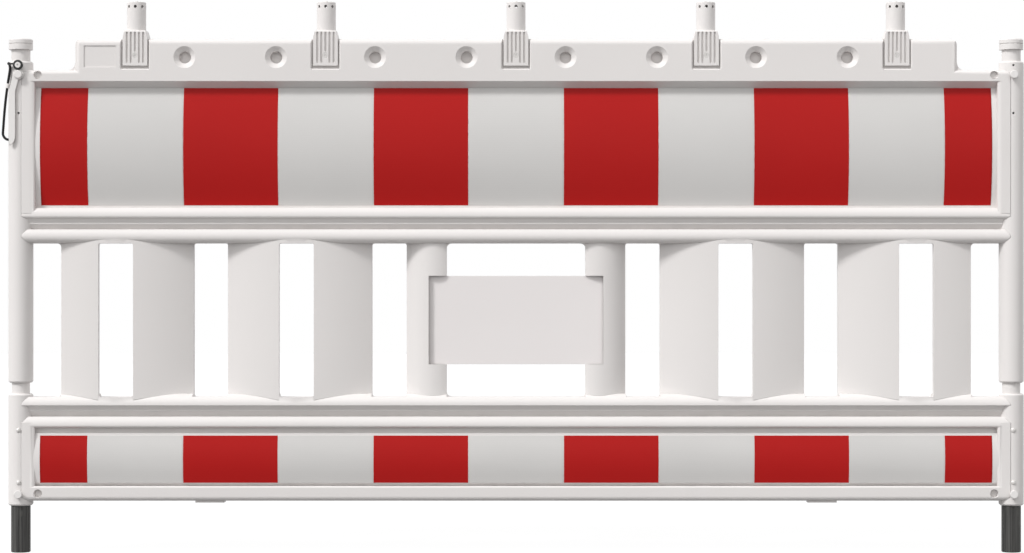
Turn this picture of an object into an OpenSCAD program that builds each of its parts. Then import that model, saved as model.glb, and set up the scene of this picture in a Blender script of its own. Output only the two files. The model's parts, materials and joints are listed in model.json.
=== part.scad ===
// Pedestrian barrier panel: a hollow white plastic body on two feet, with red and white
// reflective film on both boards, five lamp adapters on top and a coupling latch on a lanyard.
// Millimetres. X runs along the panel, -Y is the front, Z is up. The origin is on the ground,
// midway between the feet.

/* [Film] */
// Width of one full red or white stripe
stripe_w = 200; // [188:1:230]
// Height of the upper film, measured round its curve
upper_film_h = 250; // [200:1:300]
// Height of the lower film, measured round its curve
lower_film_h = 100; // [70:1:130]
// Thickness of the film
film_t = 0.6; // [0.4:0.1:1]
// Gap between neighbouring stripes
stripe_gap = 1.5; // [0.5:0.5:4]
// Radius of the curved face under the upper film
upper_face_r = 456; // [400:1:600]
// Radius of the curved face under the lower film
lower_face_r = 218; // [180:1:400]
// Space between the end of the film and the end frame
film_margin = 11; // [4:1:20]

/* [Body] */
// Depth of the boards from front to back
board_depth = 51; // [48:1:60]
// Wall of the hollow moulding
wall = 3; // [2.5:0.5:4.5]
// Distance from the end of the film recess to the post axis
end_frame_w = 33; // [30:1:45]
// Radius of the soft inner edge of the end frames
frame_edge_r = 20; // [15:1:30]
// Width of that soft edge
frame_edge_w = 10; // [5:0.5:14]
// Height of the openings between the two boards
slot_h = 316.3; // [200:1:400]
// Drop of the opening floor below the crest of the lower board
slot_floor_drop = 6.2; // [3:0.1:9]

/* [Lower board] */
// Height of the bottom rail
bottom_rail_h = 31.2; // [24:0.1:40]
// Bottom rail up to the film
lower_gap_below = 6.8; // [4:0.1:15]
// Film up to the bead
lower_gap_above = 16.4; // [10:0.1:25]
// Height of the round bead above the film
lower_bead_h = 23.3; // [16:0.1:30]
// Height of the groove between bead and top rail
lower_groove_h = 23.8; // [18:0.1:35]
// Height of the top rail
top_rail_h = 24; // [20:0.5:40]
// Depth of the flat crown of the lower face behind the front of the board
lower_crown_drop = 1.5; // [1:0.1:3]
// Width of each stacking ledge under the board
ledge_w = 61; // [30:1:120]
// Height of each stacking ledge
ledge_h = 4; // [3:0.5:10]

/* [Upper board] */
// Height of the rail under the groove
under_rail_h = 29.5; // [24:0.1:40]
// Height of the groove between rail and bead
upper_groove_h = 22.5; // [18:0.1:35]
// Height of the round bead under the film
upper_bead_h = 22.2; // [16:0.1:30]
// Bead up to the film
upper_gap_below = 6.2; // [4:0.1:15]
// Film up to the flange
upper_gap_above = 13.4; // [8:0.1:25]
// Height of the flange along the top
flange_h = 89.3; // [80:0.1:120]
// Depth of the crown of the upper face behind the front of the board
upper_crown_drop = 3.5; // [2.5:0.1:5]
// Height of the low flange at both ends
low_flange_h = 23.3; // [20:0.1:30]
// Distance from the post axis to the step in the flange
flange_step = 117; // [100:1:160]
// Radius of both curves of the step
step_r = 16; // [8:1:20]
// Radius of the round edges along the top
flange_edge_r = 12; // [6:1:16]

/* [Dimples] */
// Distance of a large dimple from its lamp adapter
dimple_offset = 104; // [70:1:110]
// Radius of a large dimple at the face
dimple_r = 23; // [15:0.5:26]
// Radius of the well of a large dimple
dimple_floor_r = 12.6; // [6:0.1:14]
// Depth of a large dimple
dimple_depth = 23; // [8:0.5:23]
// Height of the large dimples above the foot of the flange
dimple_rise = 50.3; // [40:0.1:56]
// Radius of the corner dimples
corner_dimple_r = 8.8; // [5:0.1:10]
// Depth of the corner dimples
corner_dimple_depth = 9; // [4:0.5:14]
// Distance of the corner dimples from the post axis
corner_dimple_inset = 40; // [38:1:48]

/* [Marking field] */
// Width of the bare marking field
mark_w = 67; // [30:1:80]
// Height of the bare marking field
mark_h = 45; // [20:1:50]
// Depth of the bare marking field
mark_depth = 1.5; // [0.5:0.1:2]
// Space between the marking field and the top edge
mark_top_gap = 15; // [12:1:20]
// Space between the marking field and the first pocket
mark_side_gap = 11; // [6:1:20]

/* [Slats] */
// Clear width of the openings between the slats
slot_w = 72.7; // [50:0.1:80]
// Width of the opening in the middle
centre_window_w = 292; // [200:1:330]
// Width of the opening beside each post
end_slot_w = 60.5; // [40:0.5:70]
// Width of the slat beside the middle opening
centre_slat_w = 85; // [70:1:95]
// Width of the slat beside the end opening
end_slat_w = 80.5; // [60:0.5:100]
// Usual width of the next slat out from the middle
inner_slat_w = 121; // [100:1:140]
// Usual width of the slat after that
mid_slat_w = 110; // [90:1:140]
// Usual width of the slat before the end slat
outer_slat_w = 124; // [100:1:140]
// Thickness of a slat
slat_t = 16; // [12:0.5:18]
// Radius of the wave that the slats follow
wave_r = 410; // [380:5:600]
// Depth of the wave crest behind the front of the boards
crest_drop = 0.5; // [0.3:0.1:2]
// Radius of the hump of the slat beside the middle opening
centre_hump_r = 70; // [66:1:120]
// Distance of that hump's crest from the edge of the middle opening
centre_hump_inset = 29; // [20:1:40]
// Depth of that hump's crest behind the front of the boards
centre_hump_drop = 10; // [6:0.5:14]
// Corner radius of the openings
slot_corner_r = 4; // [2:0.5:8]
// Corner radius of the middle opening
centre_corner_r = 10; // [4:0.5:12]
// Corner radius of the end opening
end_corner_r = 8.5; // [4:0.5:12]

/* [Blank plate] */
// Width of the blank plate
plate_w = 367; // [320:1:400]
// Height of the blank plate
plate_h = 186; // [100:1:220]
// Thickness of the blank plate
plate_t = 12; // [9:0.5:14]

/* [Posts] */
// Radius of the posts
post_r = 26; // [25.8:0.1:32]
// Length of post that shows below the lower board
post_skirt = 10.3; // [10:0.1:25]
// Height of the lower neck
low_neck_h = 23; // [15:0.5:40]
// Radius of the lower neck
low_neck_r = 19; // [16:0.1:22]
// Height of the upper sleeve above the low flange
sleeve_rise = 19; // [10:0.5:30]
// Height of the upper neck
top_neck_h = 25; // [15:0.5:40]
// Radius of the upper neck
top_neck_r = 19.8; // [17:0.1:22]
// Small chamfer on the post shoulders
post_chamfer = 3; // [1:0.5:4]

/* [Post caps] */
// Radius of a cap
cap_r = 25; // [22:0.5:30]
// Height of a cap
cap_h = 23; // [15:0.5:30]
// Length of the plug under a cap
cap_plug_h = 14; // [8:0.5:20]

/* [Feet] */
// Length of foot below the post
foot_reach = 98.8; // [60:0.1:150]
// Radius of a foot
foot_r = 20.3; // [19.5:0.1:22]
// Radius of the spigot in the post
spigot_r = 18.5; // [17:0.1:19.2]
// Length of the spigot in the post
spigot_h = 176; // [168:1:190]
// Number of grooves along a foot
flute_count = 6; // [4:1:8]
// Radius of a groove along a foot
flute_r = 1.5; // [0.8:0.1:2]
// Height of the lower foot screw above the post's end
foot_screw_low = 48.9; // [40:0.1:70]
// Height of the upper foot screw above the post's end
foot_screw_high = 159; // [120:0.5:162]

/* [Lamp adapters] */
// Radius of the lamp tube
tube_r = 20; // [17:0.1:22]
// Wall of the lamp tube
tube_wall = 3.6; // [2.5:0.1:5]
// Height of the lamp tube
tube_h = 60.5; // [45:0.5:80]
// Width of the saddle plates
saddle_w = 52; // [48:1:56]
// Width of the saddle at its top
saddle_top_w = 44; // [42:1:48]
// Height of the saddle above the board
saddle_rise = 17.6; // [12:0.1:25]
// Height of the tapered shoulders of the saddle
saddle_shoulder_h = 14; // [6:0.5:16]
// Depth of the pocket for a saddle plate
pocket_depth = 8; // [6:0.5:9]
// Space between the saddle and the sides of its pocket
pocket_gap = 3; // [1:0.5:4]
// Space between the saddle and the bottom of its pocket
pocket_floor_gap = 6; // [2:0.5:8]
// Height of a pocket
pocket_h = 63; // [56:0.5:66]
// Depth of the saddle face behind the front of the board
saddle_drop = 1.2; // [0.5:0.1:3]
// Distance between the grooves of a saddle
groove_pitch = 8.6; // [7:0.1:9.4]
// Width of a groove of a saddle
groove_w = 4; // [2:0.1:4]
// Depth of a groove of a saddle
groove_depth = 2.8; // [1:0.1:3]
// Height of the adapter screw above the bottom of the saddle
adapter_screw_rise = 22; // [18:0.5:30]
// Number of small holes round the tube
tube_hole_count = 8; // [4:1:12]
// Radius of a small hole in the tube
tube_hole_r = 3.1; // [1:0.1:3.5]
// Distance of the small holes from the top of the tube
tube_hole_drop = 10; // [7.5:0.5:15]

/* [Screws] */
// Radius of the screw shanks
screw_r = 2.2; // [1.5:0.1:3]
// Radius of the foot screw heads
foot_screw_head_r = 5.5; // [4.5:0.1:7]
// Height of the domed foot screw heads
foot_screw_head_h = 3; // [2:0.1:4]
// Radius of the adapter screw heads
adapter_screw_head_r = 5.6; // [4.5:0.1:6]

/* [Pins and latch] */
// Radius of the cross pins through the posts
pin_r = 5; // [3.5:0.1:6]
// Radius of the shoulder under a pin head
shoulder_r = 6.5; // [6.2:0.1:7.5]
// Radius of a pin head
pin_head_r = 8.5; // [8:0.1:9.5]
// Thickness of a pin head
pin_head_h = 4.5; // [3:0.1:6]
// Thickness of the latch
latch_t = 4; // [3:0.1:4.4]
// Outer radius of the latch eye
latch_eye_r = 11; // [10.5:0.1:12]
// Width of the latch body
latch_w = 13; // [12:0.5:18]
// Sideways offset of the latch body from its pin
latch_offset = 13; // [10:0.5:16]
// Distance from the pin down to the start of the latch body
latch_body_drop = 36; // [30:0.5:45]
// Distance from the pin down to the end of the latch
latch_reach = 147.5; // [120:0.5:160]
// Height of the curved tip of the latch
latch_tip_h = 20; // [10:0.5:25]
// Width of the blunt end of that tip
latch_tip_w = 2.5; // [1.5:0.1:5]

/* [Lanyard] */
// Diameter of the cord
cord_d = 5.5; // [4:0.1:6]
// Outer radius of the lanyard eye
lanyard_eye_r = 10.5; // [8:0.1:11]
// Thickness of the lanyard eye
lanyard_eye_t = 2.5; // [2:0.1:3]
// Radius of the lanyard screw head
lanyard_screw_head_r = 6; // [5:0.1:7]
// Wall of the ferrule on the cord
ferrule_wall = 1.2; // [0.8:0.1:2]
// Length of the ferrule
ferrule_h = 10; // [6:0.5:12]

/* [Fits] */
// Gap between film and board
film_gap = 0.05; // [0.02:0.01:0.1]
// Radial clearance of screws in their holes
screw_gap = 0.1; // [0.05:0.05:0.3]
// Radial clearance of the spigots and cap plugs
plug_gap = 0.1; // [0.05:0.05:0.3]
// Radial clearance of the latch on its pin
latch_gap = 0.08; // [0.05:0.01:0.1]
// Gap between a saddle and the board under it
saddle_gap = 0.2; // [0.1:0.05:0.3]
// Gap between the cord's end and the latch
cord_gap = 0.3; // [0.3:0.1:0.5]

/* [Hidden] */
$fn = 64;
face_fn = 360;
arc_steps = 8;
over = 1;

// Nodes
adapter_count = 5;
slat_count = 10;
film_rows = ["upper", "lower"];
film_sides = ["front", "rear"];
film_colours = ["red", "white"];

function film_name(row, side, hue) = str(row, "_", side, "_", hue, "_film");

// Colours
white_plastic = [0.89, 0.88, 0.87];
film_red = [0.74, 0.13, 0.13];
film_white = [0.82, 0.81, 0.80];
foot_grey = [0.27, 0.27, 0.28];
lanyard_black = [0.06, 0.06, 0.06];
screw_steel = [0.72, 0.72, 0.73];

// Lengths along the panel
stripe_count = 10;
half_depth = board_depth / 2;
film_length = stripe_count * stripe_w;
recess_x = film_length / 2 + film_margin;
post_x = recess_x + end_frame_w;
flange_x = post_x - flange_step;
adapter_pitch = 2 * stripe_w;
cavity_x = recess_x - 2 * corner_dimple_r - wall;

// Heights of the lower board
lower_z = foot_reach + post_skirt;
bottom_rail_z = lower_z + bottom_rail_h;
lower_film_z = bottom_rail_z + lower_gap_below;
lower_film_top_z = lower_film_z + chord(lower_film_h, lower_face_r);
lower_bead_z = lower_film_top_z + lower_gap_above;
lower_groove_z = lower_bead_z + lower_bead_h;
top_rail_z = lower_groove_z + lower_groove_h;
lower_top_z = top_rail_z + top_rail_h;
slot_floor_z = lower_top_z - slot_floor_drop;

// Heights of the upper board
upper_z = lower_top_z + slot_h;
upper_groove_z = upper_z + under_rail_h;
upper_bead_z = upper_groove_z + upper_groove_h;
upper_bead_top_z = upper_bead_z + upper_bead_h;
upper_film_z = upper_bead_top_z + upper_gap_below;
upper_film_top_z = upper_film_z + chord(upper_film_h, upper_face_r);
flange_z = upper_film_top_z + upper_gap_above;
low_flange_z = flange_z + low_flange_h;
top_z = flange_z + flange_h;
dimple_z = flange_z + dimple_rise;

// Height of a film along its chord, from its height round the curve
function chord(arc, r) = 2 * r * sin(arc / r * 90 / PI);
// Depth of a curve at a sideways distance from its crest
function sagitta(r, d) = r - sqrt(r * r - d * d);

// Half thickness of the boards along the edges of each film
upper_core = half_depth - upper_crown_drop - sagitta(upper_face_r, (upper_film_top_z - upper_film_z) / 2);
lower_core = half_depth - lower_crown_drop - sagitta(lower_face_r, (lower_film_top_z - lower_film_z) / 2);

// Edge radii of the rails and beads
bottom_edge_r = 10;
bottom_crest_r = 4;
under_edge_r = 14;
upper_bead_edge_r = 6;
lower_bead_edge_r = 5.5;
lower_neck_drop = 7;
lower_rim_h = 5;
lip_ratio = 1.45;
rail_flat = 0.5;
low_rim_r = 9;
top_rail_edge_r = min(top_rail_h, half_depth - wall / 2) - rail_flat;

// Vents between the hollows, drains in the bottom rail, and the shape of the dimples
vent_r = 3;
drain_r = 4;
mouth_share = 0.4;
corner_dimple_taper = 1;
corner_dimple_shift = 1;

// Floor of a groove: how far the floor lies behind the front at its top, its step and its bottom
lower_groove_top_drop = 4.5;
groove_step_drop = 10;
groove_ledge_drop = 9;
groove_foot_drop = 17.5;
groove_step_h = 3;

// Heights of the posts
post_rise = 0.3;
low_post_z = lower_top_z + post_rise;
sleeve_z = low_post_z + low_neck_h;
sleeve_top_z = low_flange_z + sleeve_rise;
cap_z = sleeve_top_z + top_neck_h;
post_wall = 4;
neck_wall = 4;

// Layout of the slats, from the middle out
centre_slat_x = centre_window_w / 2;
post_face_x = post_x - post_r;
slat_room = post_face_x - centre_slat_x - centre_slat_w - end_slat_w - end_slot_w - 4 * slot_w;
slat_spare = (slat_room - inner_slat_w - mid_slat_w - outer_slat_w) / 3;
slat_widths = [
    end_slat_w,
    outer_slat_w + slat_spare,
    mid_slat_w + slat_spare,
    inner_slat_w + slat_spare,
    centre_slat_w
];
function slat_outer_x(i) = i == 0 ? post_face_x - end_slot_w : slat_inner_x(i - 1) - slot_w;
function slat_inner_x(i) = slat_outer_x(i) - slat_widths[i];
// Middle of the opening that each wave crest runs through
function crest_x(i) = i < 2 ? slat_inner_x(0) - slot_w / 2 : slat_inner_x(2) - slot_w / 2;
function is_centre(i) = i == 4;
function hump_r(i) = is_centre(i) ? centre_hump_r : wave_r;
function hump_x(i) = is_centre(i) ? centre_slat_x + centre_hump_inset : crest_x(i);
function hump_y(i) = (is_centre(i) ? centre_hump_drop : crest_drop) - half_depth;
function slat_mid_x(i) = (slat_outer_x(i) + slat_inner_x(i)) / 2;
function slat_mid_y(i) = hump_y(i) + sagitta(hump_r(i), slat_mid_x(i) - hump_x(i)) + slat_t / 2;
function inner_corner_r(i) = is_centre(i) ? centre_corner_r : slot_corner_r;
function outer_corner_r(i) = i == 0 ? end_corner_r : slot_corner_r;

// Stacking ledges, under the third opening from each end
ledge_x = (slat_outer_x(2) + slat_inner_x(1)) / 2;

// Height at which the slats end inside the rail above them
slat_top_z = upper_z + under_edge_r;

// Blank plate, at mid height of the openings
plate_z = (slot_floor_z + upper_z - plate_h) / 2;

// Lamp adapters
pocket_z = top_z - pocket_h;
saddle_z = pocket_z + pocket_floor_gap;
saddle_top_z = top_z + saddle_rise;
tube_top_z = saddle_top_z + tube_h;
saddle_y = half_depth - saddle_drop;
web_y = half_depth - pocket_depth;
adapter_screw_z = saddle_z + adapter_screw_rise;
adapter_screw_head_h = 1.8;
saddle_edge_r = 3.5;
pocket_bevel = 2.5;
groove_end_gap = 8;
groove_count = 5;
adapter_x = (adapter_count - 1) / 2 * adapter_pitch;
mark_x = -adapter_x - saddle_w / 2 - pocket_gap - mark_side_gap - mark_w;
mark_z = top_z - mark_top_gap - mark_h;
tube_cap_t = 4;
tube_edge = 1;
screw_recess_r = 1.8;
screw_recess_depth = 1;
nub_r = 3;
nub_h = 3;

// Pins, latch and lanyard, all on the axis of a post
upper_pin_drop = 9.5;
lower_pin_rise = 14.5;
upper_pin_z = low_flange_z - upper_pin_drop;
lower_pin_z = lower_z + lower_pin_rise;
latch_back_gap = 1.2;
latch_front_gap = 0.5;
latch_back_y = -post_r - latch_back_gap;
latch_front_y = latch_back_y - latch_t;
pin_head_y = -latch_front_y + latch_front_gap;
pin_end_y = pin_head_y + pin_head_h;
lanyard_rise = 19.5;
lanyard_z = upper_pin_z + lanyard_rise;
pilot_drop = 81;
pilot_z = upper_pin_z - pilot_drop;
lanyard_eye_gap = 0.3;
lanyard_eye_y = -pin_head_y - lanyard_eye_gap;
lanyard_screw_y = lanyard_eye_y - lanyard_eye_t;
lanyard_spacer_r = 4.5;
lanyard_tail_x = 18.5;
lanyard_tail_r = 1.6;
lanyard_tail_rise = 2.5;
lanyard_lug_wall = 0.5;
lanyard_lug_h = 3;
lanyard_lug_lead = 0.4;
ferrule_gap = 0.25;
ferrule_drop = 23.5;

// Shapes shared by the sub-parts

// A section in depth and height, run along the panel
module along_x(length) {
    rotate([90, 0, 90]) linear_extrude(height = length, center = true) children();
}

// An outline in length and height, run from front to back
module along_y(depth) {
    rotate([90, 0, 0]) linear_extrude(height = depth, center = true) children();
}

// A round rod that points to the rear from the given depth
module rod_y(y, length, r) {
    translate([0, y, 0]) rotate([-90, 0, 0]) cylinder(h = length, r = r);
}

module left_and_right() {
    children();
    mirror([1, 0, 0]) children();
}

module front_and_rear() {
    children();
    mirror([0, 1, 0]) children();
}

module at_post(side) {
    translate([side * post_x, 0, 0]) children();
}

module at_adapter(i) {
    translate([(i - (adapter_count - 1) / 2) * adapter_pitch, 0, 0]) children();
}

// Rectangle from z0 to z1, symmetric in depth
module slab(z0, z1, half) {
    translate([-half, z0]) square([2 * half, z1 - z0]);
}

// Slab with round upper corners
module round_top_slab(z0, z1, half, r) {
    intersection() {
        slab(z0, z1, half);
        union() {
            slab(z0 - r, z1 - r, half);
            slab(z0 - r, z1, half - r);
            for (s = [-1, 1]) translate([s * (half - r), z1 - r]) circle(r = r);
        }
    }
}

// Points along an arc
function arc_points(x, z, r, from, to, first = 0) =
    [for (k = [first:arc_steps])
        let (t = from + (to - from) * k / arc_steps)
        [x + r * cos(t), z + r * sin(t)]];

// Quarter arc, or its plain corner where no radius is left
function corner_points(x, z, r, from) = r > 0 ? arc_points(x, z, r, from, from + 90) : [[x, z]];

// Section that is the same on the front and the rear, from the points of its rear side
module both_sides(side) {
    polygon(concat(side, [for (k = [len(side) - 1:-1:0]) [-side[k].x, side[k].y]]));
}

// Slab with round lower and upper corners
module round_slab(z0, z1, half, low_r, high_r) {
    both_sides(concat(
        corner_points(half - low_r, z0 + low_r, low_r, 270),
        corner_points(half - high_r, z1 - high_r, high_r, 0)
    ));
}

// Rail along both faces, with a small curve below its front line and a large one above it
module lip(z0, z1, low_r, inset = 0) {
    front_z = z0 + low_r;
    high_r = lip_ratio * (z1 - front_z);
    lead = asin((z1 - inset - front_z) / (high_r - inset));
    both_sides(concat(
        arc_points(half_depth - low_r, front_z, low_r - inset, 270, 360),
        arc_points(half_depth - high_r, front_z, high_r - inset, 0, lead, 1)
    ));
}

// Lens between the two curved film faces
module film_lens(z0, z1, r, crown, margin, inset = 0) {
    mid = (z0 + z1) / 2;
    intersection() {
        translate([crown - r, mid]) circle(r = r - inset, $fn = face_fn);
        translate([r - crown, mid]) circle(r = r - inset, $fn = face_fn);
        slab(z0 - margin, z1 + margin, half_depth);
    }
}

// Slope between the edge of a film and the rail beside it
module film_slope(low_z, low_half, high_z, high_half) {
    both_sides([[low_half, low_z], [high_half, high_z]]);
}

// Web behind a groove, with its sloping stepped floor
module groove_web(z0, z1, top_drop) {
    step_z = (z0 + z1) / 2;
    foot = half_depth - groove_foot_drop;
    ledge = half_depth - groove_ledge_drop;
    step = half_depth - groove_step_drop;
    top = half_depth - top_drop;
    both_sides([[foot, z0], [ledge, step_z], [step, step_z + groove_step_h], [top, z1]]);
}

// Solid cylinder of a post, which the boards and pin shoulders are fitted to
module post_envelope() {
    for (side = [-1, 1]) at_post(side) cylinder(h = cap_z, r = post_r);
}

// Cross section of the upper board below its flange
module upper_face_section(inset = 0) {
    lip(upper_z, upper_groove_z, under_edge_r, inset);
    lip(upper_bead_z, upper_bead_top_z, upper_bead_edge_r, inset);
    film_lens(upper_film_z, upper_film_top_z, upper_face_r, half_depth - upper_crown_drop, 0, inset);
    slab(upper_z + inset, flange_z + inset, upper_core - inset);
}

module upper_outer_section() {
    upper_face_section();
    groove_web(upper_groove_z, upper_bead_z, upper_bead_edge_r);
    film_slope(upper_film_top_z, upper_core, flange_z, half_depth);
}

// Low flange along the whole board and tall flange between its two curved steps
module upper_flange() {
    step_top = arc_points(flange_x - step_r, top_z - step_r, step_r, 0, 90);
    step_foot = arc_points(flange_x + step_r, low_flange_z + step_r, step_r, 270, 180);
    back_x = flange_x - over;
    back_z = low_flange_z - over;
    along_x(2 * post_x) round_slab(flange_z, low_flange_z, half_depth, 0, low_rim_r);
    intersection() {
        along_y(2 * board_depth) both_sides(concat([[flange_x, flange_z]], step_top));
        along_x(2 * flange_x) flange_section();
        linear_extrude(height = 2 * top_z)
            round_slab(-half_depth, half_depth, flange_x, flange_edge_r, flange_edge_r);
    }
    left_and_right() along_y(board_depth - 2 * low_rim_r) polygon(concat(
        [[back_x, back_z], [flange_x + step_r, back_z]],
        step_foot,
        [[back_x, low_flange_z + step_r]]
    ));
}

// Cross section of the tall flange
module flange_section(inset = 0) {
    round_slab(flange_z + inset, top_z - inset, half_depth - inset, 0, flange_edge_r - inset);
}

// Frame between the end of a film and the post, with a soft inner edge
module end_frame(z0, z1) {
    edge_x = recess_x + frame_edge_w;
    edge_y = half_depth - frame_edge_r;
    sweep = asin(frame_edge_w / frame_edge_r);
    left_and_right() translate([0, 0, z0]) linear_extrude(height = z1 - z0) polygon(concat(
        [[post_x, -half_depth], [post_x, half_depth]],
        arc_points(edge_x, edge_y, frame_edge_r, 90, 90 + sweep),
        arc_points(edge_x, -edge_y, frame_edge_r, 270 - sweep, 270)
    ));
}

// Pocket for one plate of a lamp adapter, grown by a wall for the hollow behind it
module adapter_pocket(grow = 0) {
    half = saddle_w / 2 + pocket_gap + grow;
    front_and_rear() translate([-half, -half_depth - over, pocket_z - grow])
        cube([2 * half, over + pocket_depth + grow, pocket_h + grow + over]);
}

// Bevel along the bottom and both sides of an adapter pocket
module pocket_rim() {
    half = saddle_w / 2 + pocket_gap;
    slope = [
        [-half_depth - over, -pocket_bevel - over],
        [over + pocket_bevel - half_depth, over],
        [-half_depth - over, over]
    ];
    front_and_rear() {
        translate([0, 0, pocket_z]) along_x(2 * half) polygon(slope);
        left_and_right() translate([half, 0, pocket_z]) linear_extrude(height = pocket_h + over)
            polygon([for (p = slope) [-p.y, p.x]]);
    }
}

// Large dimple in the front and rear face: a wide mouth and a narrow well behind it
module large_dimple(grow = 0) {
    mouth = mouth_share * dimple_depth;
    lead = over * (dimple_r - dimple_floor_r) / mouth;
    well_r = dimple_floor_r + grow;
    well_end = over + dimple_depth + grow;
    front_and_rear() translate([0, -half_depth - over, 0]) rotate([-90, 0, 0])
        rotate_extrude() polygon([
            [0, 0],
            [dimple_r + lead + grow, 0],
            [well_r, over + mouth + grow],
            [well_r, well_end],
            [0, well_end]
        ]);
}

module large_dimples(grow = 0) {
    for (i = [0:adapter_count - 1], s = [-1, 1])
        if (abs(i - (adapter_count - 1) / 2 + s / 4) < (adapter_count - 1) / 2)
            at_adapter(i) translate([s * dimple_offset, 0, dimple_z])
                large_dimple(grow);
}

module corner_dimples(z) {
    lead = over * corner_dimple_taper / corner_dimple_depth;
    floor_r = corner_dimple_r - corner_dimple_taper;
    left_and_right() front_and_rear()
        translate([post_x - corner_dimple_inset, -half_depth - over, z]) rotate([-90, 0, 0])
        cylinder(h = corner_dimple_depth + over, r1 = corner_dimple_r + lead, r2 = floor_r);
}

// Vents that join the hollow of each slat to the hollow of a board
module slat_vents(z0, z1) {
    left_and_right() for (i = [0:len(slat_widths) - 1])
        translate([slat_mid_x(i), slat_mid_y(i), z0]) cylinder(h = z1 - z0, r = vent_r);
}

// Short strip of a wave crest that closes the rail above or below an opening
module crest_strips(z0, z1) {
    left_and_right() for (i = [1, 3])
        intersection() {
            wave_solid(i, z0, z1, 0);
            translate([crest_x(i) - slot_w / 2, -half_depth, z0])
                cube([slot_w, half_depth, z1 - z0]);
        }
}

// Upright curved sheet that a slat is cut from
module wave_solid(i, z0, z1, inset) {
    r = hump_r(i);
    translate([hump_x(i), hump_y(i) + r, z0]) linear_extrude(height = z1 - z0)
        difference() {
            circle(r = r - inset, $fn = face_fn);
            circle(r = r - slat_t + inset, $fn = face_fn);
        }
}

// Sub-parts

module upper_hollow() {
    difference() {
        union() {
            along_x(2 * cavity_x) upper_face_section(wall);
            along_x(2 * (flange_x - step_r - wall)) flange_section(wall);
        }
        for (i = [0:adapter_count - 1]) at_adapter(i) adapter_pocket(wall);
        large_dimples(wall);
    }
}

module upper_board() {
    color(white_plastic) difference() {
        union() {
            along_x(2 * post_x) upper_outer_section();
            upper_flange();
            end_frame(upper_bead_z + upper_bead_h / 2, flange_z + over);
            crest_strips(upper_z, slat_top_z);
        }
        upper_hollow();
        post_envelope();
        large_dimples();
        corner_dimples(upper_pin_z - corner_dimple_shift);
        slat_vents(upper_z - over, slat_top_z);
        translate([mark_x, -half_depth - over, mark_z])
            cube([mark_w, over + mark_depth, mark_h]);
        for (i = [0:adapter_count - 1]) at_adapter(i) {
            adapter_pocket();
            pocket_rim();
            translate([0, 0, adapter_screw_z]) rod_y(-half_depth, board_depth / 2, screw_r + screw_gap);
        }
    }
}

module lower_section(inset = 0) {
    neck = lower_core - lower_gap_below - inset;
    bead_neck = lower_core - lower_neck_drop - inset;
    low_r = bottom_edge_r - inset;
    high_r = bottom_crest_r - inset;
    round_slab(lower_z + inset, bottom_rail_z - inset, half_depth - inset, low_r, high_r);
    slab(bottom_rail_z - 2 * wall, bottom_rail_z, neck);
    film_slope(bottom_rail_z, neck, lower_film_z, lower_core - inset);
    film_lens(lower_film_z, lower_film_top_z, lower_face_r, half_depth - lower_crown_drop, 0, inset);
    lip(lower_bead_z, lower_groove_z, lower_bead_edge_r, inset);
    round_top_slab(top_rail_z + inset, lower_top_z - inset, half_depth - inset, top_rail_edge_r - inset);
    slab(lower_film_z, lower_film_top_z + lower_rim_h - inset, lower_core - inset);
    slab(lower_film_top_z, lower_bead_z + 2 * wall, bead_neck);
}

module lower_outer_section() {
    lower_section();
    groove_web(lower_groove_z, top_rail_z, lower_groove_top_drop);
}

module lower_hollow() {
    difference() {
        along_x(2 * cavity_x) {
            lower_section(wall);
            slab(lower_bead_z + wall, lower_top_z - wall - slot_floor_drop, wall);
        }
        opening_cuts(slot_floor_z - wall, wall);
    }
}

// The openings, as blocks that reach up from the given height
module opening_cuts(z, grow = 0) {
    height = upper_z - z;
    left_and_right() for (i = [0:len(slat_widths) - 1]) {
        outer = i == 0 ? post_x : slat_inner_x(i - 1);
        translate([slat_outer_x(i) - grow, -board_depth, z])
            cube([outer - slat_outer_x(i) + 2 * grow, 2 * board_depth, height]);
    }
    translate([-centre_slat_x - grow, -board_depth, z])
        cube([2 * (centre_slat_x + grow), 2 * board_depth, height]);
}

module lower_board() {
    color(white_plastic) difference() {
        union() {
            difference() {
                along_x(2 * post_x) lower_outer_section();
                opening_cuts(slot_floor_z);
            }
            end_frame(lower_z + bottom_edge_r, lower_bead_z + lower_bead_h / 2);
            crest_strips(top_rail_z, slot_floor_z);
            left_and_right()
                translate([ledge_x - ledge_w / 2, bottom_edge_r - half_depth, lower_z - ledge_h])
                cube([ledge_w, board_depth - 2 * bottom_edge_r, ledge_h + wall]);
        }
        lower_hollow();
        post_envelope();
        corner_dimples(lower_pin_z + corner_dimple_shift);
        slat_vents(top_rail_z + wall, lower_top_z + over);
        left_and_right() translate([stripe_w, 0, lower_z - over])
            cylinder(h = 2 * wall + over, r = drain_r);
    }
}

// Front outline of a slat, with the hollow corners of the openings beside it
module slat_outline(i) {
    x0 = slat_inner_x(i);
    x1 = slat_outer_x(i);
    translate([x0, top_rail_z]) square([x1 - x0, slat_top_z - top_rail_z]);
    for (edge = [[x0, -1, inner_corner_r(i)], [x1, 1, outer_corner_r(i)]])
        for (level = [[slot_floor_z, 1], [upper_z, -1]])
            corner_fillet(edge[0], level[0], edge[1], level[1], edge[2]);
}

// Hollow corner between a slat's edge and a rail
module corner_fillet(x, z, side_x, side_z, r) {
    translate([x, z]) scale([side_x, side_z]) difference() {
        translate([-over, -over]) square(r + over);
        translate([r, r]) circle(r = r);
    }
}

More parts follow.
